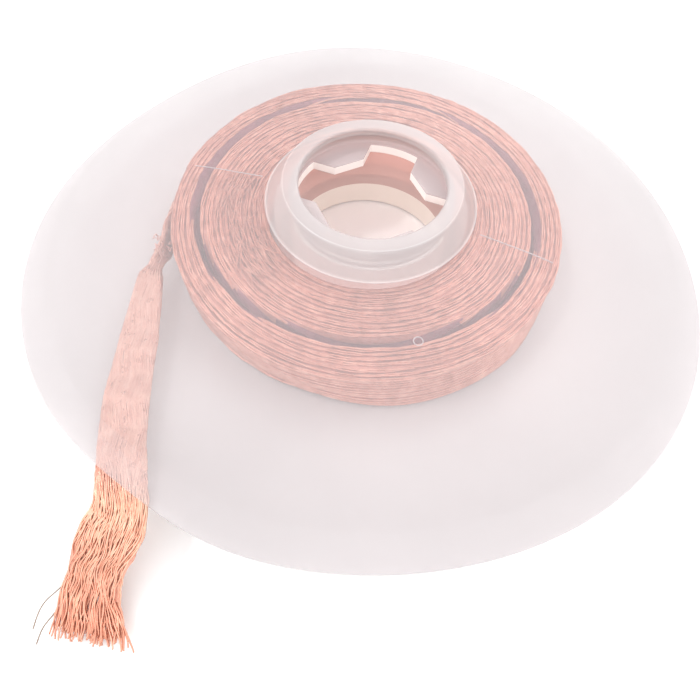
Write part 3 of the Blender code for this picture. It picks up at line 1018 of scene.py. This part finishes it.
def copper(name, dark, middle, light, roughness, metallic, painted_shade_hidden=WHITE, tip=WHITE):
    """Bright copper wire, its colour shifting from wire to wire with the flux on it."""
    material, tree, shader = new_material(name)
    shader.inputs["Metallic"].default_value = metallic
    place = tree.nodes.new("ShaderNodeTexCoord")
    patch = add_node(tree, "ShaderNodeTexNoise", Scale=1100.0, Detail=4.0, Roughness=0.65)
    tree.links.new(place.outputs["Object"], patch.inputs["Vector"])
    ramp = add_ramp(tree, patch.outputs["Fac"], [(0.3, dark), (0.5, middle), (0.72, light)])
    # Painted shade: the wires are darker between the flanges. Toward the frayed tip they are redder
    split = add_node(tree, "ShaderNodeSeparateXYZ")
    tree.links.new(place.outputs["Object"], split.inputs["Vector"])
    share = add_node(tree, "ShaderNodeMapRange")
    share.inputs["From Min"].default_value = TINT_Y[0] * MM
    share.inputs["From Max"].default_value = TINT_Y[1] * MM
    tree.links.new(split.outputs["Y"], share.inputs["Value"])
    tint = add_ramp(tree, share.outputs["Result"], [(0.22, painted_shade_hidden), (0.4, WHITE), (1.0, tip)])
    tinted = add_node(tree, "ShaderNodeVectorMath")
    tinted.operation = 'MULTIPLY'
    tree.links.new(ramp.outputs["Color"], tinted.inputs[0])
    tree.links.new(tint.outputs["Color"], tinted.inputs[1])
    tree.links.new(tinted.outputs["Vector"], shader.inputs["Base Color"])
    spread = add_node(tree, "ShaderNodeMapRange")
    spread.inputs["To Min"].default_value = roughness - 0.1
    spread.inputs["To Max"].default_value = roughness + 0.12
    tree.links.new(patch.outputs["Fac"], spread.inputs["Value"])
    tree.links.new(spread.outputs["Result"], shader.inputs["Roughness"])
    fine = add_node(tree, "ShaderNodeTexNoise", Scale=9000.0, Detail=2.0, Roughness=0.6)
    tree.links.new(place.outputs["Object"], fine.inputs["Vector"])
    bump = add_node(tree, "ShaderNodeBump", Strength=0.25, Distance=0.00002)
    tree.links.new(fine.outputs["Fac"], bump.inputs["Height"])
    tree.links.new(bump.outputs["Normal"], shader.inputs["Normal"])
    return material


# Floor and light

def make_floor():
    """A plain pale floor under the roll."""
    builder = Builder()
    corners = [(x * FLOOR_HALF, y * FLOOR_HALF, 0.0) for x, y in ((-1, -1), (1, -1), (1, 1), (-1, 1))]
    builder.add(corners, [[0, 1, 2, 3]])
    material, tree, shader = new_material("pale_floor")
    shader.inputs["Roughness"].default_value = 0.9
    shader.inputs["Specular IOR Level"].default_value = 0.1
    place = tree.nodes.new("ShaderNodeTexCoord")
    cloud = add_node(tree, "ShaderNodeTexNoise", Scale=6.0, Detail=2.0)
    tree.links.new(place.outputs["Object"], cloud.inputs["Vector"])
    ramp = add_ramp(tree, cloud.outputs["Fac"], [(0.3, (0.96, 0.96, 0.96)), (0.7, (0.98, 0.98, 0.98))])
    tree.links.new(ramp.outputs["Color"], shader.inputs["Base Color"])
    floor = builder.piece("floor", [material])


def make_area_light(name, place, size, power, aim=LIGHT_AIM):
    """A soft square light that points at the roll, or at another place."""
    data = bpy.data.lights.new(name, 'AREA')
    data.shape = 'SQUARE'
    data.size = size * MM
    data.energy = power
    light = bpy.data.objects.new(name, data)
    bpy.context.scene.collection.objects.link(light)
    light.location = Vector(place) * MM
    light.rotation_euler = (Vector(aim) - Vector(place)).to_track_quat('-Z', 'Y').to_euler()


def make_light():
    """White surroundings and soft lights, as in a small light tent."""
    world = bpy.data.worlds.new("white_surroundings")
    world.use_nodes = True
    background = world.node_tree.nodes["Background"]
    background.inputs["Color"].default_value = (1.0, 1.0, 1.0, 1.0)
    background.inputs["Strength"].default_value = 1.04
    bpy.context.scene.world = world
    make_area_light("front_light", (-80.0, -260.0, 250.0), 300.0, 0.35)
    make_area_light("back_light", (75.0, 278.0, 230.0), 190.0, 0.40)
    make_area_light("left_light", (-280.0, 10.0, 210.0), 260.0, 0.34)
    make_area_light("right_light", (280.0, 40.0, 230.0), 260.0, 0.42)
    # A smaller light for the bright band where the braid bends down over the rim
    make_area_light("bend_light", (-172.0, 20.0, 313.0), 38.0, 0.21, aim=(-14.0, -26.0, 4.0))
    bpy.context.scene.view_settings.view_transform = "Standard"


def make_free_end():
    """The free end and the stray wires that have left its tip."""
    tints = {"painted_shade_hidden": HIDDEN_PAINTED_SHADE, "tip": TIP_TINT}
    wire = copper("copper_wire", (0.76, 0.41, 0.29), (0.86, 0.50, 0.36), (0.93, 0.61, 0.45),
                  0.32, 0.6, **tints)
    # Painted shade: a little darker, duller copper for the strip between the layers and for the tangled
    # wires
    between = copper("copper_between_wires_painted_shade", (0.72, 0.36, 0.27), (0.84, 0.46, 0.35), (0.92, 0.56, 0.43),
                     0.5, 0.2, **tints)
    dark_wire = copper("copper_wire_dark", (0.72, 0.36, 0.25), (0.80, 0.445, 0.325), (0.87, 0.53, 0.40),
                       0.36, 0.55, **tints)
    pale_wire = copper("copper_wire_pale", (0.81, 0.46, 0.33), (0.90, 0.56, 0.42), (0.96, 0.67, 0.52),
                       0.28, 0.7, **tints)
    stray_wire = copper("stray_copper", (0.22, 0.16, 0.13), (0.28, 0.21, 0.17), (0.34, 0.27, 0.22),
                        0.4, 0.4)
    tail, ribbon = make_tail([wire, between, dark_wire, pale_wire])
    strays = make_stray_wires(stray_wire)


def make_bobbin():
    """Both halves of the bobbin. The lower flange is more opaque, as its light comes through two layers, and
    its colour is painted lighter to make up for the upper flange's shade on it.
    """
    # Painted glow: the boss, web, edges, hub and hub foot emit a little light of their own colour, most of
    # all the hub and its cream foot ring, which is also painted lighter
    plastics = [plastic("frosted_flange", (0.645, 0.59, 0.60), 0.20, 0.36, rim_painted_shade=0.88),
                plastic("frosted_boss", (0.51, 0.458, 0.458), 0.66, 0.3, painted_glow=0.07),
                plastic("frosted_web", (0.58, 0.51, 0.52), 0.62, 0.32, painted_glow=0.05),
                # Painted highlight: the drive hole's top edge is a much whiter, glowing plastic; its greater
                # opacity comes from the thicker edge
                plastic("moulded_edge_painted_highlight", (0.9, 0.85, 0.82), 0.85, 0.3, painted_glow=0.2),
                # Painted shade: the rim band is a little darker than the flange
                plastic("frosted_rim_painted_shade", (0.62, 0.57, 0.58), 0.24, 0.36),
                plastic("frosted_hub_painted_glow", (0.78, 0.53, 0.49), 0.5, 0.34, painted_glow=0.22),
                plastic("frosted_foot_painted_glow", (0.88, 0.80, 0.73), 0.7, 0.34, painted_glow=0.30),
                # Painted highlight: a brighter, glowing plastic for the boss's edge lines
                plastic("edge_painted_highlight", (0.82, 0.78, 0.78), 0.45, 0.25, painted_glow=0.12)]
    # Painted light: the lower flange is much lighter than the upper one
    lower_flange = plastic("frosted_lower_flange_painted_light", (0.80, 0.755, 0.76), 0.54, 0.36, rim_painted_shade=0.77)
    lower_plastics = list(plastics)
    lower_plastics[FLANGE] = lower_flange
    lower_plastics[RIM_BAND] = lower_flange
    upper = make_upper_half(plastics)
    lower = make_lower_half(lower_plastics)
    for half, node in ((upper, "spool_upper_half"), (lower, "spool_lower_half")):
        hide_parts(node)
        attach(half, "root")


def main():
    """The camera and the free end first, then the bobbin, the roll, the floor and the light."""
    make_camera()
    make_free_end()
    make_bobbin()
    # Painted shade: the wound copper is a darker copy of the free end's copper, for the light that the
    # flange and the turns hold back
    wound = copper("wound_copper_painted_shade", (0.585, 0.235, 0.165), (0.72, 0.325, 0.245), (0.85, 0.455, 0.35),
                   0.42, 0.72)
    # Painted shade: a darker copper for the body under the strands, seen between the turns
    deep = copper("copper_between_turns_painted_shade", (0.52, 0.20, 0.15), (0.635, 0.27, 0.205), (0.735, 0.345, 0.28),
                  0.6, 0.4)
    # Painted glow: the copper against the hub is a bright, emitting plastic, for light that reaches it
    # through the hub
    behind_hub = plastic("copper_behind_hub_painted_glow", (0.78, 0.38, 0.31), 1.0, 0.5, painted_glow=0.2)
    # Painted shade: a dark lilac copper for the groove's shadow
    groove = copper("copper_groove_painted_shade", (0.25, 0.08, 0.10), (0.35, 0.12, 0.15), (0.45, 0.165, 0.195),
                    0.6, 0.5)
    make_winding([wound, deep, behind_hub, groove])
    make_floor()
    make_light()


main()
